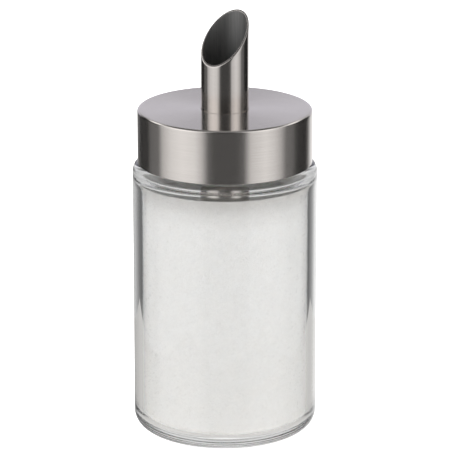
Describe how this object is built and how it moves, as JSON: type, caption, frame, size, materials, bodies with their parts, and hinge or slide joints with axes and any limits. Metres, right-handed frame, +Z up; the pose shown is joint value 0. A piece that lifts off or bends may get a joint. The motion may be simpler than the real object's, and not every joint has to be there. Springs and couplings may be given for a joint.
{
  "type": "sugar pourer",
  "caption": "Cylindrical glass sugar pourer with a steel screw lid and a slant-cut dosing tube through it.",
  "frame": {"origin": "centre of the jar's base, on the surface that it stands on", "axes": "+Z up along the jar's axis; the slanted mouth of the tube faces -Y and its tip is at +Y"},
  "size_m": [0.07, 0.07, 0.162],
  "materials": {
    "clear_glass": "polished",
    "sugar": "matte",
    "lid_steel": "satin",
    "tube_steel": "satin",
    "insert_plastic": "satin",
    "silicone": "matte",
    "spring_steel": "satin"
  },
  "bodies": {
    "jar": {"glass_jar": "clear_glass", "sugar_fill": "sugar"},
    "gasket": {"rim_gasket": "silicone"},
    "lid": {"lid_shell": "lid_steel", "thread_insert": "insert_plastic", "dosing_tube": "tube_steel", "tube_seal": "silicone", "tube_clamp": "spring_steel"}
  },
  "joints": [
    {"name": "lid_lift", "type": "slide", "parent": "jar", "child": "gasket", "axis": [0, 0, 1], "range_m": [0, 0.00502]},
    {"name": "lid_turn", "type": "hinge", "parent": "gasket", "child": "lid", "pos_m": [0, 0, 0], "axis": [0, 0, 1], "range_deg": [0, 450]}
  ],
  "couplings": [
    {"joint": "lid_lift", "follows": "lid_turn", "m_per_rad": 0.00063662}
  ]
}
